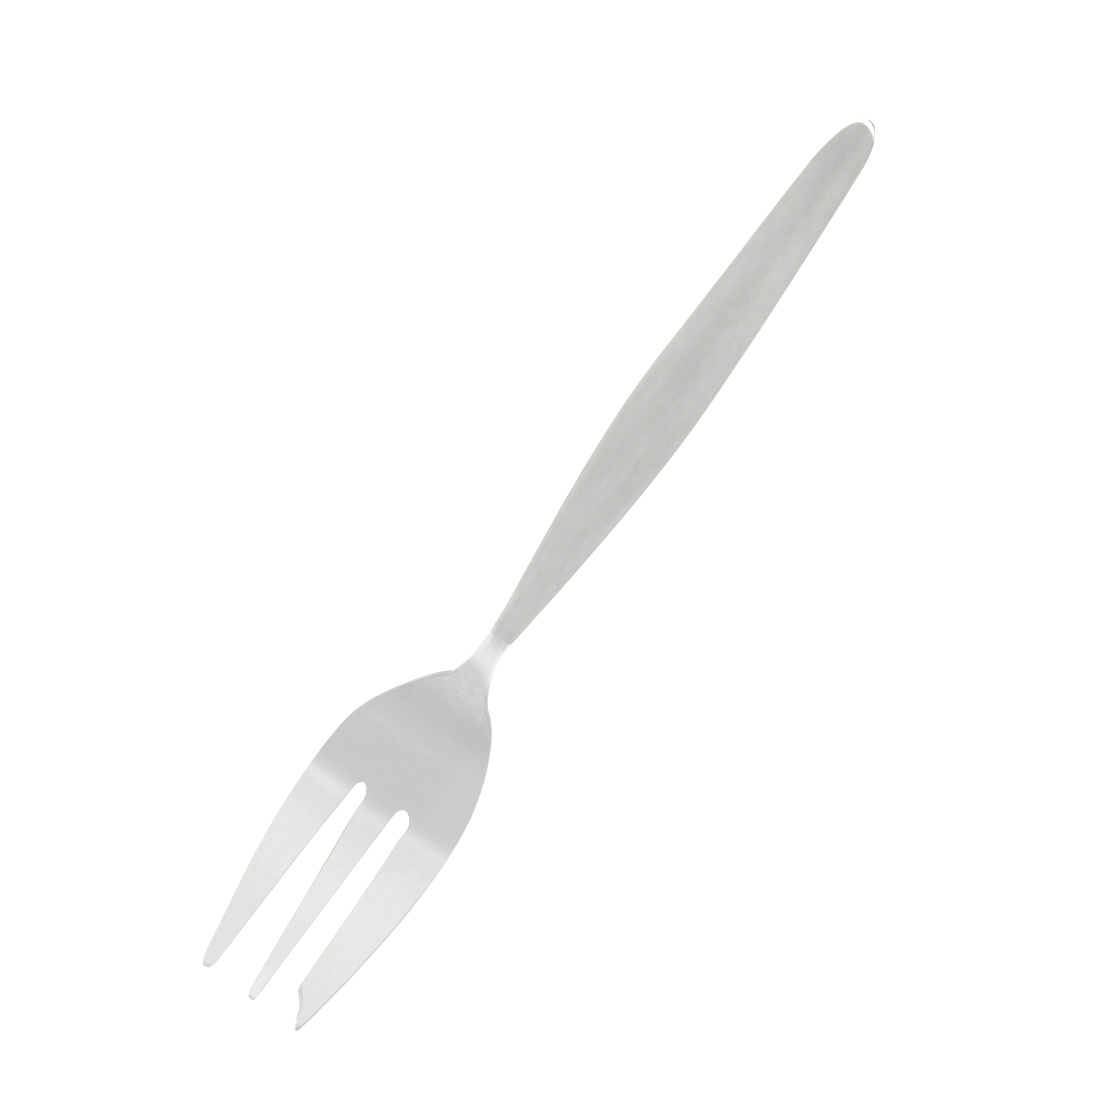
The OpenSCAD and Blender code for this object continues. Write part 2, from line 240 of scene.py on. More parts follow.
def fork_head():
    p = head_outline()
    n, reach = outline_normals(p)
    # the walls stand square to the bent blade, so the outline draws in where they lean
    half = at(STEEL, p[:, 0]) / 2
    lean = np.abs(np.sin(tilt(p[:, 0]))) * half * 0.45
    p = p - n * (lean * np.abs(n[:, 0]))[:, None]
    p = p + n * at([(86, 0), (97, 0), (99, 0.03), (118, 0.03), (121, 0), (151, 0)], p[:, 0])[:, None]
    n, reach = outline_normals(p)
    inset, drop = edge_round(p[:, 0], p[:, 1])
    # soften sudden changes of the inset along the outline
    for _ in range(3):
        inset = (np.roll(inset, 1) + 2 * inset + np.roll(inset, -1)) / 4
        drop = (np.roll(drop, 1) + 2 * drop + np.roll(drop, -1)) / 4
    step = np.roll(p, -1, axis=0) - p
    for _ in range(60):
        q = p - n * (inset * reach)[:, None]
        moved = np.roll(q, -1, axis=0) - q
        bad = (moved * step).sum(axis=1) < 0.12 * (step * step).sum(axis=1)
        if not bad.any():
            break
        worse = bad | np.roll(bad, 1)
        inset = np.where(worse, inset * 0.85, inset)
    count = len(p)
    steps = 8
    verts, normals = [], []
    station = p[:, 0]
    t_slope = (at(STEEL, station + 0.1) - at(STEEL, station - 0.1)) / 0.2 / 2
    for side in (1, -1):
        angles = [math.pi / 2 * k / steps for k in range(steps, -1, -1)]
        if side < 0:
            angles = angles[::-1]
        for a in angles:
            q = p - n * (inset * reach * (1 - math.cos(a)))[:, None]
            t = at(STEEL, q[:, 0]) / 2
            h = t - drop + drop * math.sin(a)
            verts.append(np.column_stack([q, side * h]))
            c, s = math.cos(a) / np.maximum(inset, 1e-3), math.sin(a) / np.maximum(drop, 1e-3)
            size = np.hypot(c, s)
            c, s = c / size, s / size
            normals.append(np.column_stack([n[:, 0] * c - t_slope * s, n[:, 1] * c, side * s]))
    rings = len(verts)
    verts, normals = np.concatenate(verts), np.concatenate(normals)

    bm = bmesh.new()
    lx, ly, lz = (bm.verts.layers.float.new(k) for k in ("nx", "ny", "nz"))
    made = []
    for v, m in zip(verts, normals):
        b = bm.verts.new(v)
        b[lx], b[ly], b[lz] = m
        made.append(b)
    for r in range(rings - 1):
        for i in range(count):
            j = (i + 1) % count
            bm.faces.new((made[r * count + i], made[(r + 1) * count + i], made[(r + 1) * count + j], made[r * count + j]))
    bm.faces.new([made[i] for i in range(count)])
    bm.faces.new([made[(rings - 1) * count + i] for i in range(count)][::-1])
    bm.normal_update()

    # strips across the blade, so that it bends smoothly
    for cut in np.arange(MOUTH + 0.5, 149.9, 0.5):
        bmesh.ops.bisect_plane(bm, geom=bm.verts[:] + bm.edges[:] + bm.faces[:], dist=1e-5,
                               plane_co=(cut, 0, 0), plane_no=(1, 0, 0))
    bmesh.ops.bisect_plane(bm, geom=bm.verts[:] + bm.edges[:] + bm.faces[:], dist=1e-5,
                           plane_co=(MOUTH, 0, 0), plane_no=(1, 0, 0), clear_inner=True)
    bmesh.ops.triangulate(bm, faces=[f for f in bm.faces if len(f.verts) > 4], ngon_method="BEAUTY")

    # the tang, which the handle hides, runs back from the neck
    rim = [e for e in bm.edges if e.is_boundary]
    ring_before = None
    first_loop = None
    for k, x in enumerate(np.linspace(MOUTH, MOUTH - 34, 24)):
        ring = []
        for y, h in ((0.8, 0.55), (0.75, 0.6), (-0.75, 0.6), (-0.8, 0.55), (-0.8, -0.55), (-0.75, -0.6), (0.75, -0.6), (0.8, -0.55)):
            v = bm.verts.new((x, y, h))
            v[lx], v[ly], v[lz] = 0.0, y / 0.8, h / 0.6
            ring.append(v)
        if ring_before:
            for i in range(8):
                bm.faces.new((ring_before[i], ring_before[(i + 1) % 8], ring[(i + 1) % 8], ring[i]))
        else:
            first_loop = ring
        ring_before = ring
    bm.faces.new(ring_before)
    inner = [bm.edges.get((first_loop[i], first_loop[(i + 1) % 8])) for i in range(8)]
    bmesh.ops.triangle_fill(bm, edges=rim + inner, use_beauty=True, use_dissolve=False)
    bmesh.ops.recalc_face_normals(bm, faces=bm.faces[:])

    bm.verts.index_update()
    co = np.array([v.co[:] for v in bm.verts])
    flat = np.array([(v[lx], v[ly], v[lz]) for v in bm.verts])
    flat /= np.maximum(np.linalg.norm(flat, axis=1), 1e-9)[:, None]
    faces = [tuple(v.index for v in f.verts) for f in bm.faces]
    bm.free()
    pos = bend(co[:, 0], co[:, 1], co[:, 2])
    nor = bend_normal(co[:, 0], co[:, 1], co[:, 2], flat[:, 0], flat[:, 1], flat[:, 2])
    return add_mesh("fork_head_blade", pos, faces, nor, {"edge": 1 - np.abs(flat[:, 2]), "facing": flat[:, 1]})


# ---------------------------------------------------------------- the handle

def end_round(x, a, power=2.0):
    u = np.clip(1 - x / a, 0, 1)
    return (1 - u**power) ** (1 / power)


def out_w(x):
    return 0.99 * at(HALF_WIDTH, x) * end_round(x - HANDLE_END, 7.0)


def out_h(x):
    return at(HALF_DEPTH, x) * end_round(x - HANDLE_END, 1.5, 4.0)


def off_centre(x):
    return at(OFF_CENTRE, x)


def half_shell(name, side):
    around = 60
    angles = np.pi * np.arange(around + 1) / around
    ends = HANDLE_END + 3.0 * (np.arange(1, 30) / 29.0) ** 2
    stations = np.concatenate([ends, np.arange(3.8, 10, 0.4), np.arange(10, MOUTH - LIP, 0.6), [MOUTH - LIP]])
    trims = np.zeros(len(stations))
    for k in range(1, 6):  # the rounded lip of the mouth
        a = math.pi / 2 * k / 5
        stations = np.append(stations, MOUTH - LIP + LIP * math.sin(a))
        trims = np.append(trims, LIP * (1 - math.cos(a)))
    c, s = np.cos(angles), np.sin(angles)
    ey, ed = np.sign(c) * np.abs(c) ** (2 / FULLNESS), np.abs(s) ** (2 / FULLNESS)
    ey[0], ey[-1], ed[0], ed[-1] = 1, -1, 0, 0

    def loft(x, w, h):
        x, w, h = (np.atleast_1d(v).astype(float)[:, None] for v in (x, w, h))
        y, d = w * ey[None], side * h * ed[None]
        return x + 0 * y, y + off_centre(x), d

    w, h = out_w(stations) - trims, out_h(stations) - trims
    settle = np.clip((stations - 85.8) / 3.0, 0, 1) ** 2
    h = h - 0.13 * settle
    X, Y, D = loft(stations, w, h)
    seam = np.minimum(0.04, 0.2 * w)  # fine relief along the seam
    Y[:, 0] -= seam
    Y[:, -1] += seam
    eps = 1e-3
    dw = (out_w(stations + eps) - out_w(np.maximum(stations - eps, HANDLE_END + 1e-5))) / (eps + np.minimum(eps, stations - HANDLE_END))
    dh = (out_h(stations + eps) - out_h(np.maximum(stations - eps, HANDLE_END + 1e-5))) / (eps + np.minimum(eps, stations - HANDLE_END))
    lip = trims / LIP
    n = FULLNESS
    fx = -(np.abs(ey) ** n)[None] * (dw / w)[:, None] - (np.abs(ed) ** n)[None] * (dh / h)[:, None]
    fy = (np.sign(ey) * np.abs(ey) ** (n - 1))[None] / w[:, None]
    fd = side * (np.abs(ed) ** (n - 1))[None] / h[:, None]
    size = np.sqrt(fx**2 + fy**2 + fd**2)
    fx, fy, fd = fx / size, fy / size, fd / size
    fx = fx + (np.tan(np.arccos(np.clip(1 - lip, 0.93, 1))))[:, None] * (lip > 0)[:, None]
    outer = bend(X, Y, D)
    outer_n = bend_normal(X, Y, D, fx, fy, fd)

    hollow = np.concatenate([[2.6], np.arange(3.2, 10, 1.0), np.linspace(10, MOUTH, 60)])
    wi, hi = out_w(hollow) - WALL, out_h(hollow) - WALL
    XI, YI, DI = loft(hollow, wi, hi)
    inner = bend(XI, YI, DI)
    inner_n = bend_normal(XI, YI, DI, 0 * XI, -np.sign(YI) * np.abs(ey)[None] ** 1.5, -side * np.abs(ed)[None] ** 1.5)

    rows, cols, deep = len(stations), around + 1, len(hollow)
    tip = bend(np.array([HANDLE_END]), off_centre(np.array([HANDLE_END])), np.array([0.0]))
    verts = np.concatenate([outer.reshape(-1, 3), inner.reshape(-1, 3), tip])
    normals = np.concatenate([outer_n.reshape(-1, 3), inner_n.reshape(-1, 3), [[-1.0, 0.0, 0.0]]])

    def o(i, j):
        return i * cols + j

    def q(i, j):
        return rows * cols + i * cols + j

    pole = len(verts) - 1
    last = cols - 1
    faces = [(pole, o(0, j), o(0, j + 1)) for j in range(last)]
    faces.append((pole, o(0, last), o(0, 0)))
    for i in range(rows - 1):
        for j in range(last):
            faces.append((o(i, j), o(i + 1, j), o(i + 1, j + 1), o(i, j + 1)))
    for i in range(deep - 1):
        for j in range(last):
            faces.append((q(i, j), q(i, j + 1), q(i + 1, j + 1), q(i + 1, j)))
    faces.append(tuple(q(0, j) for j in range(cols)))
    for j in range(last):
        faces.append((o(rows - 1, j), q(deep - 1, j), q(deep - 1, j + 1), o(rows - 1, j + 1)))
    # the seam face: across the solid end, then along both walls of the hollow
    c0 = int(np.searchsorted(stations, hollow[0]))
    for i in range(c0 - 1):
        faces.append((o(i, 0), o(i, last), o(i + 1, last), o(i + 1, 0)))
    faces.append((o(c0 - 1, 0), o(c0, 0), q(0, 0), q(0, last), o(c0, last), o(c0 - 1, last)))
    for j, back in ((0, False), (last, True)):
        i, k = c0, 0
        while i < rows - 1 or k < deep - 1:
            grow = k >= deep - 1 or (i < rows - 1 and stations[i + 1] <= hollow[k + 1])
            if grow:
                faces.append((o(i, j), o(i + 1, j), q(k, j)))
                i += 1
            else:
                faces.append((o(i, j), q(k + 1, j), q(k, j)))
                k += 1
    across = np.concatenate([np.tile(ey, rows), np.tile(ey, deep), [0.0]])
    low = np.concatenate([1 - np.abs(outer_n.reshape(-1, 3)[:, 2]), np.zeros(deep * cols), [1.0]])
    return add_mesh(name, verts, faces, normals, {"across": across, "low": low})


# ---------------------------------------------------------------- materials

class Nodes:
    """A small helper that keeps the material recipes short."""

    def __init__(self, tree):
        self.tree = tree
        tree.nodes.clear()

    def add(self, kind, **props):
        node = self.tree.nodes.new(kind)
        for k, v in props.items():
            setattr(node, k, v)
        return node

    def link(self, a, b):
        self.tree.links.new(a, b)

    def put(self, socket, value):
        if isinstance(value, bpy.types.NodeSocket):
            self.link(value, socket)
        else:
            socket.default_value = value

    def math(self, op, a, b=0.0, c=None, clamp=False):
        n = self.add("ShaderNodeMath", operation=op, use_clamp=clamp)
        self.put(n.inputs[0], a)
        self.put(n.inputs[1], b)
        if c is not None:
            self.put(n.inputs[2], c)
        return n.outputs[0]

    def ramp(self, value, lo, hi, out_lo=0.0, out_hi=1.0, smooth=True):
        n = self.add("ShaderNodeMapRange", interpolation_type="SMOOTHSTEP" if smooth else "LINEAR", clamp=True)
        self.put(n.inputs["Value"], value)
        for key, v in (("From Min", lo), ("From Max", hi), ("To Min", out_lo), ("To Max", out_hi)):
            self.put(n.inputs[key], v)
        return n.outputs["Result"]

    def mix(self, factor, a, b):
        n = self.add("ShaderNodeMix", data_type="RGBA")
        self.put(n.inputs[0], factor)
        self.put(n.inputs[6], a)
        self.put(n.inputs[7], b)
        return n.outputs[2]

    def place(self):
        """Position in the frame, in millimetres."""
        t = self.add("ShaderNodeTexCoord")
        m = self.add("ShaderNodeVectorMath", operation="SCALE")
        self.link(t.outputs["Object"], m.inputs[0])
        m.inputs["Scale"].default_value = 1000.0
        return m.outputs[0]

    def noise(self, where, stretch, scale=1.0, detail=3.0, rough=0.5, offset=(0, 0, 0), distort=0.0):
        m = self.add("ShaderNodeMapping", vector_type="POINT")
        self.link(where, m.inputs["Vector"])
        m.inputs["Scale"].default_value = stretch
        m.inputs["Location"].default_value = offset
        n = self.add("ShaderNodeTexNoise")
        self.link(m.outputs[0], n.inputs["Vector"])
        n.inputs["Scale"].default_value = scale
        n.inputs["Detail"].default_value = detail
        n.inputs["Roughness"].default_value = rough
        n.inputs["Distortion"].default_value = distort
        return n.outputs["Fac"]

    def bump(self, height, distance, strength=1.0, normal=None):
        n = self.add("ShaderNodeBump")
        self.put(n.inputs["Height"], height)
        n.inputs["Distance"].default_value = distance
        n.inputs["Strength"].default_value = strength
        if normal is not None:
            self.link(normal, n.inputs["Normal"])
        return n.outputs[0]


def new_material(name):
    m = bpy.data.materials.new(name)
    m.use_nodes = True
    return m, Nodes(m.node_tree)


def station_of(g, p):
    """Station along the fork and offset across it, as shader values."""
    xyz = g.add("ShaderNodeSeparateXYZ")
    g.link(p, xyz.inputs[0])
    return g.math("MULTIPLY_ADD", xyz.outputs[0], 1 / KX, 75 / KX + HANDLE_END), xyz.outputs[1]


def scaled(g, colour, factor):
    n = g.add("ShaderNodeVectorMath", operation="SCALE")
    g.link(colour, n.inputs[0])
    g.link(factor, n.inputs["Scale"])
    return n.outputs[0]


def polished_steel():
    m, g = new_material("polished_steel")
    p = g.place()
    x, y = station_of(g, p)
    cloud = g.noise(p, (0.16, 0.22, 0.22), detail=4, rough=0.55)
    streak = g.noise(p, (0.12, 3.5, 3.5), detail=3, rough=0.6, offset=(3, 7, 1))
    hair = g.noise(p, (0.05, 9.0, 9.0), detail=2, rough=0.7, offset=(11, 2, 5), distort=0.3)
    mottle = g.noise(p, (0.9, 0.9, 0.9), detail=6, rough=0.68, offset=(6, 3, 8))
    line = g.ramp(hair, 0.68, 0.74)
    attr = g.add("ShaderNodeAttribute", attribute_name="edge")
    fall = attr.outputs["Fac"]
    edge = g.ramp(fall, 0.05, 0.6)
    attr = g.add("ShaderNodeAttribute", attribute_name="facing")
    facing = attr.outputs["Fac"]
    def window(value, lo, hi, soft=0.2):
        return g.math("MULTIPLY", g.ramp(value, lo - soft, lo + soft), g.math("SUBTRACT", 1.0, g.ramp(value, hi - soft, hi + soft)))

    tone = g.math("ADD", g.math("MULTIPLY", g.math("SUBTRACT", cloud, 0.5), 0.6),
                  g.math("MULTIPLY", g.math("SUBTRACT", streak, 0.5), 0.4))
    tone = g.math("ADD", tone, 0.5, clamp=True)
    colour = g.mix(tone, (0.575, 0.57, 0.562, 1), (0.615, 0.611, 0.603, 1))
    # the neck and the shoulders are less evenly polished than the bowl and the tines
    near = g.math("SUBTRACT", 1.0, g.ramp(x, 99.0, 105.0))
    amount = g.math("MULTIPLY", near, g.ramp(x, 93.0, 96.0, 0.09, 0.23))
    amount = g.math("ADD", amount, g.ramp(x, 118.0, 123.0, 0.07, 0.12))
    uneven = g.math("MULTIPLY", g.math("SUBTRACT", mottle, 0.5), amount)
    # a faint lighter line across the bowl: a painted reflection
    bow = g.math("MULTIPLY_ADD", y, -0.05, g.math("MULTIPLY_ADD", g.math("MULTIPLY", y, y), -0.004, 107.95))
    bow = g.math("ADD", bow, g.math("MULTIPLY", g.math("SUBTRACT", mottle, 0.5), 1.2))
    across = g.math("SUBTRACT", 1.0, g.ramp(g.math("ABSOLUTE", g.math("SUBTRACT", x, bow)), 0.1, 0.8))
    across = g.math("MULTIPLY", across, g.ramp(y, 1.0, 7.0, 1.0, 0.35))
    # painted shade: darker steel on the faces of the shoulders
    plain = g.math("ADD", g.math("ADD", y, 3.1), g.math("MULTIPLY", g.math("SUBTRACT", x, 96.5), 0.92))
    plain = g.math("MULTIPLY", g.math("SUBTRACT", 1.0, g.ramp(plain, 0.1, 1.1)), g.math("MULTIPLY", g.ramp(x, 95.8, 97.0), g.math("SUBTRACT", 1.0, g.ramp(x, 100.5, 103.0))))
    wide = g.math("SUBTRACT", g.math("MULTIPLY_ADD", g.math("SUBTRACT", x, 96.5), 0.85, 3.0), y)
    wide = g.math("MULTIPLY", g.math("SUBTRACT", 1.0, g.ramp(wide, 0.1, 0.7)), g.math("MULTIPLY", g.ramp(x, 96.3, 97.2), g.math("SUBTRACT", 1.0, g.ramp(x, 99.5, 101.0))))
    factor = g.math("ADD", 1.0, uneven)
    factor = g.math("ADD", factor, g.math("MULTIPLY", across, 0.028))
    factor = g.math("SUBTRACT", factor, g.math("MULTIPLY", g.math("MULTIPLY", g.math("MAXIMUM", plain, wide), g.ramp(fall, 0.01, 0.1, 1.0, 0.0)), 0.085))
    # and a painted dark line in the rounded edge of the bowl: painted shade
    bowl = g.math("MULTIPLY", g.ramp(x, 93.5, 96.5), g.math("SUBTRACT", 1.0, g.ramp(x, 119.0, 123.0)))
    painted_edge_shade = g.mix(g.ramp(x, 103.0, 107.0), g.ramp(fall, 0.01, 0.35), edge)
    factor = g.math("SUBTRACT", factor, g.math("MULTIPLY", g.math("MULTIPLY", bowl, painted_edge_shade), g.ramp(x, 98.0, 103.0, 0.37, 0.41)))
    # painted shade in the shoulders' rounded edges right out to the outline, with a thin painted highlight where the
    # edge begins
    plus = g.ramp(y, -0.5, 0.5)
    painted_shoulder_edge = g.math("ADD", g.math("MULTIPLY", g.ramp(x, 98.2, 99.4, 1.0, 0.0), g.math("SUBTRACT", 1.0, plus)),
                   g.math("MULTIPLY", g.ramp(x, 97.2, 98.0, 1.0, 0.0), plus))
    painted_shoulder_edge = g.math("MULTIPLY", painted_shoulder_edge, g.ramp(x, 96.0, 96.8))
    factor = g.math("MULTIPLY_ADD", g.math("MULTIPLY", painted_shoulder_edge, g.ramp(fall, 0.14, 0.34)), -0.11, factor)
    factor = g.math("MULTIPLY_ADD", g.math("MULTIPLY", painted_shoulder_edge, window(fall, 0.008, 0.1, 0.006)), 0.06, factor)

    # a painted highlight on the neck, from a little past the mouth to about 94 mm, where the head is brightest;
    # painted shade just after the mouth, and a faint painted highlight at 90 mm
    slant = g.math("SUBTRACT", x, g.math("MULTIPLY_ADD", g.math("MAXIMUM", y, 0.0), 0.5, g.math("MULTIPLY", y, 0.15)))
    slant = g.math("ADD", slant, g.math("MULTIPLY", g.math("SUBTRACT", mottle, 0.5), 1.9))
    start = g.math("MULTIPLY_ADD", g.math("MINIMUM", g.math("ADD", y, 0.8), 0.0), -1.7, x)
    start = g.math("ADD", start, g.math("MULTIPLY", g.math("SUBTRACT", mottle, 0.5), 1.2))
    painted_neck_highlight = g.math("MULTIPLY", g.ramp(start, 89.6, 91.6), g.math("SUBTRACT", 1.0, g.ramp(slant, 92.9, 95.0)))
    painted_neck_highlight = g.math("MULTIPLY", painted_neck_highlight, g.ramp(fall, 0.02, 0.12, 1.0, 0.45))
    factor = g.math("ADD", factor, g.math("MULTIPLY", painted_neck_highlight, 0.25))
    factor = g.math("SUBTRACT", factor, g.math("MULTIPLY", g.math("SUBTRACT", 1.0, g.ramp(x, 88.8, 89.8)), g.ramp(g.math("ABSOLUTE", y), 0.5, 1.1, 0.10, -0.02)))
    factor = g.math("ADD", factor, g.math("MULTIPLY", window(x, 90.0, 90.4, 0.5), 0.02))
    # painted dark reflections along the tines' rounded edges that face the cutting side
    painted_dark_edge = g.math("MULTIPLY", g.math("MULTIPLY", g.ramp(facing, 0.15, 0.7), g.ramp(fall, 0.05, 0.5)), g.ramp(x, 117.0, 122.0))
    painted_dark_edge = g.math("MULTIPLY", painted_dark_edge, g.math("SUBTRACT", 1.0, g.math("MULTIPLY", g.ramp(x, 148.0, 148.9), g.ramp(y, 2.0, 5.0, 1.0, 0.0))))
    factor = g.math("SUBTRACT", factor, g.math("MULTIPLY", painted_dark_edge, g.ramp(y, 6.0, 8.0, 0.44, 0.2)))
    # a painted dark reflection along the rounded cutting edge
    painted_cutting_edge_shade = g.math("MULTIPLY", g.math("MULTIPLY", g.ramp(facing, 0.02, 0.1), window(fall, 0.015, 0.16, 0.01)), g.math("MULTIPLY", g.ramp(y, 7.5, 8.3), g.ramp(x, 122.0, 126.0)))
    factor = g.math("MULTIPLY_ADD", painted_cutting_edge_shade, g.ramp(x, 127.0, 136.0, -0.2, -0.3), factor)
    # painted shade on the neck's rounded edges near the mouth, more on the cutting side
    painted_flank_shade = g.math("MULTIPLY", g.ramp(fall, 0.01, 0.12), g.math("SUBTRACT", 1.0, g.ramp(x, 89.8, 91.2)))
    factor = g.math("ADD", factor, g.math("MULTIPLY", painted_flank_shade, g.ramp(y, -0.5, 0.5, -0.06, -0.13)))
    # painted light on the bevels of the notch and of the tips: a painted dark reflection on the rim, a painted
    # highlight strip and a painted dark inner line; the middle tine's tip gets a painted dark rim and a lighter face,
    # and the corner of the cutting tip is painted dark
    rim, inner = g.ramp(fall, 0.45, 0.75), window(fall, 0.012, 0.07, 0.008)
    painted_highlight_strip = window(fall, 0.10, 0.40, 0.04)
    notch = g.math("MULTIPLY", g.ramp(x, 144.2, 144.7), window(y, 4.7, 7.2, 0.2))
    deep = g.math("MULTIPLY", notch, g.ramp(x, 146.2, 148.6, 1.0, 0.15))
    left = g.math("MULTIPLY", g.ramp(x, 147.6, 148.2), g.math("SUBTRACT", 1.0, g.ramp(y, -7.2, -6.6)))
    left = g.math("MULTIPLY", left, g.ramp(facing, -0.2, 0.5, 1.0, 0.3))
    near_tip = g.math("MULTIPLY", g.ramp(x, 145.6, 147.6), g.math("MULTIPLY", g.ramp(y, -7.2, -6.6, 1.0, 0.0), g.ramp(facing, -0.1, -0.5)))
    centre = g.math("MULTIPLY", g.ramp(x, 143.5, 148.0), window(y, -2.0, 2.4, 0.2))
    corner = g.math("MULTIPLY", g.ramp(x, 148.9, 149.3), g.ramp(y, 7.1, 7.5))
    for where, marks, amount in ((notch, rim, -0.3), (deep, inner, -0.42), (deep, painted_highlight_strip, 0.07), (near_tip, rim, -0.14),
                                 (left, rim, -0.14), (left, inner, -0.14), (left, painted_highlight_strip, 0.07),
                                 (centre, rim, -0.16), (centre, g.math("SUBTRACT", 1.0, g.ramp(fall, 0.02, 0.2)), 0.09)):
        factor = g.math("MULTIPLY_ADD", g.math("MULTIPLY", where, marks), amount, factor)
    factor = g.math("SUBTRACT", factor, g.math("MULTIPLY", corner, 0.17))
    # painted shade along the middle tine's rounded edge on the plain side, and on the plain tine's face
    painted_tine_edge_shade = g.math("MULTIPLY", g.math("MULTIPLY", window(x, 122.0, 130.5, 1.5), window(y, -3.4, -1.7)), g.ramp(facing, -0.15, -0.6))
    factor = g.math("MULTIPLY_ADD", painted_tine_edge_shade, -0.45, factor)
    painted_tine_face_shade = g.math("MULTIPLY", window(x, 132.0, 144.0, 4.0), g.math("SUBTRACT", 1.0, g.ramp(y, -6.2, -5.2)))
    factor = g.math("MULTIPLY_ADD", painted_tine_face_shade, -0.03, factor)
    # painted highlights on the cutting side of the bowl and where the plain tine leaves the bowl
    bright = g.math("MULTIPLY", g.ramp(y, 4.0, 7.0), window(x, 104.0, 117.0, 1.5))
    bright = g.math("ADD", bright, g.math("MULTIPLY", g.ramp(y, -7.0, -5.0, 1.0, 0.0), window(x, 118.4, 120.2, 0.7)))
    factor = g.math("MULTIPLY_ADD", bright, 0.03, factor)
    colour = scaled(g, colour, factor)
    rough = g.math("ADD", g.ramp(cloud, 0.3, 0.7, 0.09, 0.13, smooth=False), g.math("MULTIPLY", line, 0.05))
    rough = g.math("SUBTRACT", rough, g.math("MULTIPLY", edge, 0.03))
    b = g.bump(g.noise(p, (0.22, 0.3, 0.3), detail=2, offset=(5, 5, 9)), 9e-6)
    b = g.bump(mottle, 8e-7, normal=b)
    b = g.bump(streak, 1.5e-7, normal=b)
    b = g.bump(line, -1.2e-7, normal=b)
    s = g.add("ShaderNodeBsdfPrincipled")
    s.inputs["Metallic"].default_value = 1.0
    g.link(colour, s.inputs["Base Color"])
    g.link(rough, s.inputs["Roughness"])
    g.link(b, s.inputs["Normal"])
    out = g.add("ShaderNodeOutputMaterial")
    g.link(s.outputs[0], out.inputs[0])
    return m


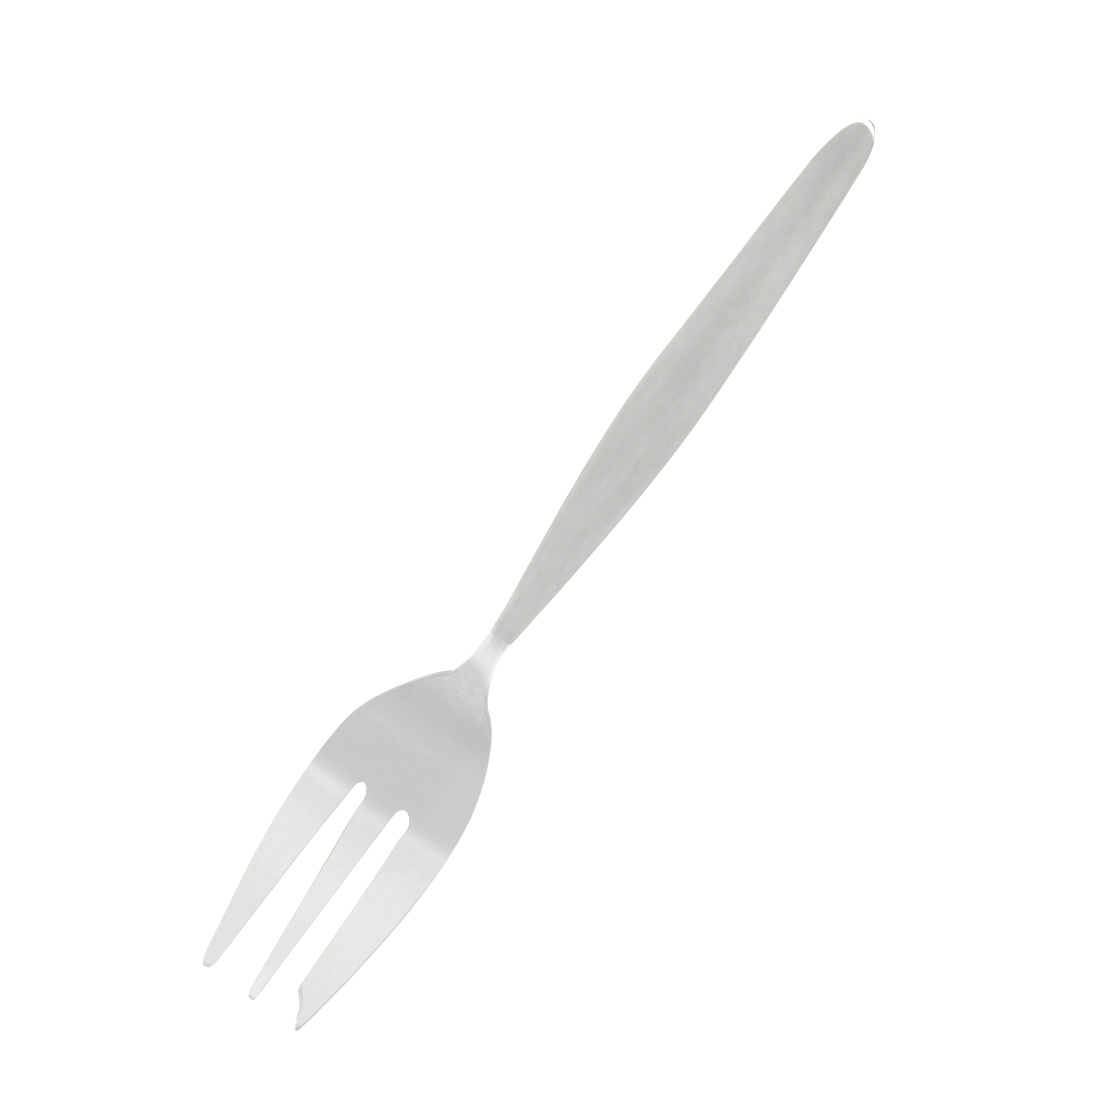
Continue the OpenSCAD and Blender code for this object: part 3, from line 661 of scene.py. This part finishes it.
def satin_steel():
    m, g = new_material("satin_steel")
    p = g.place()
    x, y = station_of(g, p)
    # the very end of the handle is left polished: a crescent that runs on down the plain side
    y2 = g.math("MULTIPLY", y, y)
    low_side = g.math("ADD", g.math("MULTIPLY", y2, 0.30), g.math("MULTIPLY", g.math("MULTIPLY", y2, y2), 0.04))
    high_side = g.math("MULTIPLY", y2, 0.2)
    plus = g.math("GREATER_THAN", y, 0.0)
    arc = g.math("ADD", g.math("MULTIPLY", low_side, g.math("SUBTRACT", 1.0, plus)), g.math("MULTIPLY", high_side, plus))
    wander = g.noise(p, (1.2, 1.2, 1.2), detail=3, offset=(1, 4, 2))
    arc = g.math("ADD", g.math("ADD", arc, 1.38), g.math("MULTIPLY", g.math("SUBTRACT", wander, 0.5), 0.25))
    satin = g.ramp(g.math("SUBTRACT", x, arc), -0.14, 0.14)
    # and it fades out unevenly where the neck comes out
    fade = g.math("ADD", g.math("MULTIPLY_ADD", g.math("MINIMUM", y, 0.0), 0.8, 89.5), g.math("MULTIPLY", g.math("SUBTRACT", wander, 0.5), 0.9))
    satin = g.math("MULTIPLY", satin, g.math("SUBTRACT", 1.0, g.ramp(g.math("SUBTRACT", x, fade), -0.35, 0.35)))
    cloud = g.noise(p, (0.07, 0.35, 0.35), detail=4, rough=0.55)
    grain = g.noise(p, (0.35, 9.0, 9.0), detail=4, rough=0.65, offset=(2, 8, 3))
    fleck = g.noise(p, (1.1, 5.0, 5.0), detail=2, rough=0.6, offset=(9, 1, 6))
    patch = g.noise(p, (0.45, 0.9, 0.9), detail=4, rough=0.6, offset=(7, 5, 2))
    tone = g.math("ADD", g.math("MULTIPLY", g.math("SUBTRACT", cloud, 0.5), 1.1),
                  g.math("MULTIPLY", g.math("SUBTRACT", grain, 0.5), 1.2))
    tone = g.math("ADD", tone, g.math("MULTIPLY", g.math("SUBTRACT", patch, 0.5), 1.0))
    tone = g.math("ADD", tone, 0.5, clamp=True)
    colour = g.mix(tone, (0.400, 0.396, 0.387, 1), (0.475, 0.471, 0.462, 1))
    # painted shade and light: darker along the middle of the outer half, lighter towards the neck and the edges, and a
    # little darker on the cutting side beyond 40 mm
    attr = g.add("ShaderNodeAttribute", attribute_name="across")
    aside = g.math("ABSOLUTE", g.math("ADD", attr.outputs["Fac"], g.math("MULTIPLY_ADD", g.math("SUBTRACT", patch, 0.5), 0.5, 0.1)))
    outer = g.math("SUBTRACT", 1.0, g.ramp(x, 50.0, 66.0))
    middle = g.math("SUBTRACT", 1.0, g.ramp(aside, 0.05, 0.6))
    painted_light_and_scuffs = g.math("ADD", g.math("MULTIPLY", outer, -0.085), g.math("MULTIPLY", g.math("SUBTRACT", 1.0, outer), 0.03))
    painted_light_and_scuffs = g.math("ADD", g.math("MULTIPLY", painted_light_and_scuffs, middle), g.math("MULTIPLY_ADD", outer, -0.045, 1.08))
    painted_light_and_scuffs = g.math("ADD", painted_light_and_scuffs, g.math("MULTIPLY", g.ramp(x, 44.0, 50.0), 0.03))
    painted_light_and_scuffs = g.math("ADD", painted_light_and_scuffs, g.math("MULTIPLY", g.ramp(x, 54.0, 60.0), -0.013))
    painted_light_and_scuffs = g.math("ADD", painted_light_and_scuffs, g.math("MULTIPLY", g.ramp(x, 60.0, 76.0), 0.11))
    painted_light_and_scuffs = g.math("ADD", painted_light_and_scuffs, g.math("MULTIPLY", g.math("MULTIPLY", y, g.ramp(x, 30.0, 42.0)), -0.006))
    # scuffs where the wheel ran off the plain side, just behind the mouth
    scuff = g.math("MULTIPLY", g.ramp(g.noise(p, (2.6, 2.6, 2.6), detail=2, rough=0.6, offset=(3, 3, 7)), 0.5, 0.66),
                   g.math("MULTIPLY", g.ramp(x, 87.6, 88.4), g.ramp(y, -0.7, -1.2)))
    painted_light_and_scuffs = g.math("ADD", painted_light_and_scuffs, g.math("MULTIPLY", scuff, 0.26))
    # a painted highlight on the lip of the mouth; painted shade on both sides behind it and across the end of the
    # satin
    painted_light_and_scuffs = g.math("ADD", painted_light_and_scuffs, g.math("MULTIPLY", g.ramp(x, 89.13, 89.19), 0.4))
    painted_light_and_scuffs = g.math("ADD", painted_light_and_scuffs, g.math("MULTIPLY", g.math("MULTIPLY", g.ramp(x, 80.0, 85.5), g.ramp(y, -0.5, -1.5)), -0.09))
    painted_light_and_scuffs = g.math("ADD", painted_light_and_scuffs, g.math("MULTIPLY", g.math("MULTIPLY", g.ramp(x, 80.0, 85.5), g.ramp(y, 0.6, 1.6)), -0.12))
    painted_light_and_scuffs = g.math("ADD", painted_light_and_scuffs, g.math("MULTIPLY", g.ramp(x, 87.2, 88.2), -0.045))
    # painted shade on the flanks of the inner half
    painted_flank_shade = g.math("MULTIPLY", g.ramp(g.math("ABSOLUTE", attr.outputs["Fac"]), 0.52, 0.82), g.math("SUBTRACT", 1.0, g.ramp(x, 80.0, 85.5)))
    painted_flank_shade = g.math("MULTIPLY", painted_flank_shade, g.math("ADD", g.ramp(x, 42.0, 50.0, 0.0, -0.055), g.ramp(x, 60.0, 76.0, 0.0, -0.13)))
    painted_light_and_scuffs = g.math("ADD", painted_light_and_scuffs, painted_flank_shade)
    # more painted light and shade: lighter at the very end, darker from 84 mm to the mouth and over the outer 20 mm
    painted_light_and_scuffs = g.math("ADD", painted_light_and_scuffs, g.math("MULTIPLY", g.math("SUBTRACT", 1.0, g.ramp(x, 2.0, 6.0)), 0.06))
    painted_light_and_scuffs = g.math("SUBTRACT", painted_light_and_scuffs, g.math("MULTIPLY", g.ramp(x, 84.0, 87.5), 0.05))
    painted_light_and_scuffs = g.math("SUBTRACT", painted_light_and_scuffs, g.math("MULTIPLY", g.math("SUBTRACT", 1.0, g.ramp(x, 12.0, 22.0)), 0.025))
    # painted shade: darkest at the end, more so towards the edges
    painted_light_and_scuffs = g.math("SUBTRACT", painted_light_and_scuffs, g.math("MULTIPLY", g.math("SUBTRACT", 1.0, g.ramp(x, 6.0, 12.0)), g.math("MULTIPLY_ADD", middle, -0.045, 0.07)))
    colour = scaled(g, colour, painted_light_and_scuffs)
    # a painted dark reflection: a thin dark arc in the low rounded edge round the very end, on the cutting side
    attr = g.add("ShaderNodeAttribute", attribute_name="low")
    arc = g.math("MULTIPLY", g.ramp(attr.outputs["Fac"], 0.3, 0.6), g.math("SUBTRACT", 1.0, g.ramp(x, 1.4, 2.1)))
    arc = g.math("MULTIPLY", arc, g.ramp(y, -0.9, -0.2))
    # the polished end is made lighter than the polished strip at the mouth: partly its own polish, partly a painted
    # highlight
    bright = g.mix(g.ramp(x, 20.0, 60.0), (0.76, 0.757, 0.75, 1), (0.51, 0.508, 0.502, 1))
    colour = g.mix(satin, bright, colour)
    colour = scaled(g, colour, g.math("MULTIPLY_ADD", arc, -0.4, 1.0))
    rough = g.ramp(grain, 0.25, 0.75, 0.37, 0.47, smooth=False)
    rough = g.math("ADD", rough, g.math("MULTIPLY", g.math("SUBTRACT", fleck, 0.5), 0.06))
    rough = g.math("ADD", g.math("MULTIPLY", rough, satin), g.math("MULTIPLY", g.math("SUBTRACT", 1.0, satin), 0.11))
    depth = g.math("MULTIPLY", g.math("ADD", grain, g.math("MULTIPLY", fleck, 0.4)), satin)
    b = g.bump(depth, 2.0e-6)
    s = g.add("ShaderNodeBsdfPrincipled")
    s.inputs["Metallic"].default_value = 1.0
    g.link(colour, s.inputs["Base Color"])
    g.link(rough, s.inputs["Roughness"])
    g.link(b, s.inputs["Normal"])
    out = g.add("ShaderNodeOutputMaterial")
    g.link(s.outputs[0], out.inputs[0])
    return m


def cast_filler():
    m, g = new_material("cast_filler")
    p = g.place()
    grit = g.noise(p, (2.5, 2.5, 2.5), detail=6, rough=0.65)
    spot = g.noise(p, (0.5, 0.5, 0.5), detail=3, offset=(4, 4, 4))
    colour = g.mix(spot, (0.30, 0.28, 0.25, 1), (0.42, 0.40, 0.36, 1))
    rough = g.ramp(grit, 0.3, 0.7, 0.75, 0.95, smooth=False)
    s = g.add("ShaderNodeBsdfPrincipled")
    g.link(colour, s.inputs["Base Color"])
    g.link(rough, s.inputs["Roughness"])
    g.link(g.bump(grit, 6e-5), s.inputs["Normal"])
    out = g.add("ShaderNodeOutputMaterial")
    g.link(s.outputs[0], out.inputs[0])
    return m


# ---------------------------------------------------------------- assembly

head = fork_head()
front = half_shell("handle_front", 1)
back = half_shell("handle_back", -1)
steel, satin, cast = polished_steel(), satin_steel(), cast_filler()
for piece, node, slot, material in ((head, "fork_head", "polished_steel", steel),
                                    (front, "handle_front_shell", "satin_steel", satin),
                                    (back, "handle_back_shell", "satin_steel", satin)):
    piece.data.materials.append(material)
    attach(piece, "root")
    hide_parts(node)
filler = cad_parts["handle_filler"]
filler.data.materials.clear()
filler.data.materials.append(cast)

# ---------------------------------------------------------------- studio

def floor_material():
    m, g = new_material("pale_floor")
    p = g.place()
    tone = g.noise(p, (0.004, 0.004, 0.004), detail=2)
    colour = g.mix(tone, (0.90, 0.90, 0.90, 1), (0.915, 0.915, 0.915, 1))
    s = g.add("ShaderNodeBsdfPrincipled")
    g.link(colour, s.inputs["Base Color"])
    s.inputs["Roughness"].default_value = 0.9
    s.inputs["Specular IOR Level"].default_value = 0.0
    s.inputs["Emission Color"].default_value = (1, 1, 1, 1)
    s.inputs["Emission Strength"].default_value = 0.6
    clear = g.add("ShaderNodeBsdfTransparent")
    face = g.add("ShaderNodeNewGeometry")
    choose = g.add("ShaderNodeMixShader")
    g.link(face.outputs["Backfacing"], choose.inputs[0])
    g.link(s.outputs[0], choose.inputs[1])
    g.link(clear.outputs[0], choose.inputs[2])
    out = g.add("ShaderNodeOutputMaterial")
    g.link(choose.outputs[0], out.inputs[0])
    return m


floor_mesh = bpy.data.meshes.new("floor")
ring = [(3.0 * math.cos(2 * math.pi * k / 48), 3.0 * math.sin(2 * math.pi * k / 48), -2e-5) for k in range(48)]
floor_mesh.from_pydata(ring, [], [tuple(range(48))])
floor = bpy.data.objects.new("floor", floor_mesh)
bpy.context.scene.collection.objects.link(floor)
floor_mesh.materials.append(floor_material())
floor.visible_glossy = False

world = bpy.data.worlds.new("studio")
world.use_nodes = True
bpy.context.scene.world = world
g = Nodes(world.node_tree)
tex = g.add("ShaderNodeTexCoord")
sep = g.add("ShaderNodeSeparateXYZ")
g.link(tex.outputs["Generated"], sep.inputs[0])
X, Y, Z = sep.outputs[0], sep.outputs[1], sep.outputs[2]
LIGHT = 1.36
# the tent, with a greyer panel hung in it, long and narrow, lying along the fork;
# (sideways component of the direction, brightness) along the panel and past its ends
bands = g.add("ShaderNodeValToRGB")
g.link(g.math("MULTIPLY_ADD", X, 0.5, 0.5), bands.inputs[0])
PANEL = [(-0.72, 1.15), (-0.66, 0.945), (-0.60, 0.955), (-0.48, 0.99), (-0.34, 1.015), (-0.26, 0.985), (-0.17, 0.935),
         (-0.105, 0.93), (-0.05, 0.965), (-0.026, 0.925), (0.007, 0.79), (0.033, 0.75), (0.06, 0.72), (0.24, 0.72),
         (0.33, 0.732), (0.37, 0.728), (0.43, 0.695), (0.47, 0.662), (0.51, 0.658), (0.545, 0.666), (0.575, 0.70),
         (0.592, 0.762), (0.61, 0.78), (0.66, 0.785), (0.75, 1.05)]
fill_ramp = bands.color_ramp
fill_ramp.interpolation = "LINEAR"
for k, (side, level) in enumerate(PANEL):
    place = side * 0.5 + 0.5
    stop = fill_ramp.elements[k] if k < 2 else fill_ramp.elements.new(place)
    stop.position = place
    stop.color = (level, level, level, 1)
# the tent to either side of the panel, brightest beyond the neck
aside = g.ramp(X, 0.35, 0.55, 1.0, 0.9)
half = g.ramp(X, 0.36, 0.52, 0.62, 0.05)
reach = g.ramp(g.math("SUBTRACT", g.math("ABSOLUTE", Y), half), 0.0, g.ramp(X, 0.36, 0.52, 0.2, 0.6))
reach = g.math("MAXIMUM", reach, g.math("SUBTRACT", 1.0, g.ramp(Z, 0.0, 0.1)))
upper = g.math("ADD", g.math("MULTIPLY", bands.outputs[0], g.math("SUBTRACT", 1.0, reach)), g.math("MULTIPLY", aside, reach))
# low down, cards stand round the table, some white and some grey
azimuth = g.math("MULTIPLY_ADD", g.math("ARCTAN2", Y, X), 1 / (2 * math.pi), 0.5)


def around(stops):
    node = g.add("ShaderNodeValToRGB")
    g.link(azimuth, node.inputs[0])
    ramp = node.color_ramp
    ramp.interpolation = "LINEAR"
    for k, (deg, level) in enumerate(stops):
        place = deg / 360 + 0.5
        stop = ramp.elements[k] if k < 2 else ramp.elements.new(place)
        stop.position = place
        stop.color = (level, level, level, 1)
    return node.outputs[0]


cards = around([(-180, 0.42), (-174, 0.5), (-163, 1.15), (-152, 1.1), (-142, 0.97), (-118, 0.97), (-108, 1.1), (-60, 1.1),
                (-50, 0.9), (-25, 0.85), (25, 0.85), (50, 0.9), (62, 1.15), (84, 1.15), (93, 1.0), (106, 0.97),
                (113, 0.93), (120, 0.88), (138, 0.88), (145, 0.44), (180, 0.42)])
low = g.math("MULTIPLY", g.ramp(Z, -0.40, -0.26), g.math("SUBTRACT", 1.0, g.ramp(Z, -0.02, 0.16)))
# under the horizon there is the table, darker close to the fork
table = around([(-180, 0.42), (-174, 0.5), (-163, 1.1), (-152, 1.05), (-142, 0.95), (-118, 0.95), (-108, 1.05), (-60, 1.05),
                (-45, 0.9), (-25, 0.8), (25, 0.8), (45, 0.85), (60, 0.9), (84, 0.95), (93, 1.0), (106, 0.95),
                (113, 0.9), (120, 0.85), (138, 0.85), (145, 0.42), (180, 0.4)])
table = g.math("MULTIPLY", table, g.ramp(Z, -0.99, -0.85, 0.8, 1.0))
under = g.math("SUBTRACT", 1.0, g.ramp(Z, -0.40, -0.26))
level = g.math("MULTIPLY", upper, g.math("SUBTRACT", g.math("SUBTRACT", 1.0, low), under))
level = g.math("ADD", level, g.math("MULTIPLY", cards, low))
level = g.math("ADD", level, g.math("MULTIPLY", table, under))
level = g.math("MULTIPLY", level, LIGHT)
tint = g.add("ShaderNodeBackground")
tint.inputs["Color"].default_value = (1.0, 0.998, 0.994, 1)
g.link(level, tint.inputs["Strength"])
plain = g.add("ShaderNodeBackground")
plain.inputs["Color"].default_value = (1.0, 1.0, 1.0, 1)
plain.inputs["Strength"].default_value = 1.1
path = g.add("ShaderNodeLightPath")
either = g.add("ShaderNodeMixShader")
g.link(path.outputs["Is Camera Ray"], either.inputs[0])
g.link(tint.outputs[0], either.inputs[1])
g.link(plain.outputs[0], either.inputs[2])
out = g.add("ShaderNodeOutputWorld")
g.link(either.outputs[0], out.inputs[0])

scene = bpy.context.scene
scene.view_settings.view_transform = "Standard"
scene.view_settings.look = "None"
scene.view_settings.exposure = 0.0
scene.view_settings.gamma = 1.0

# ---------------------------------------------------------------- camera, straight above, as in the photograph

cam_data = bpy.data.cameras.new("camera")
cam_data.sensor_width = 36.0
cam_data.lens = 400.0
cam = bpy.data.objects.new("camera", cam_data)
scene.collection.objects.link(cam)
right = Vector((-0.57690, 0.81681, 0))
up = Vector((-0.81681, -0.57690, 0))
turn = Matrix((right, up, Vector((0, 0, 1)))).transposed().to_4x4()
width = 0.15353
distance = width * cam_data.lens / cam_data.sensor_width
cam.matrix_world = Matrix.Translation((-0.000145, -0.00164, 0.004 + distance)) @ turn
cam_data.clip_start, cam_data.clip_end = 0.05, 20.0
scene.camera = cam
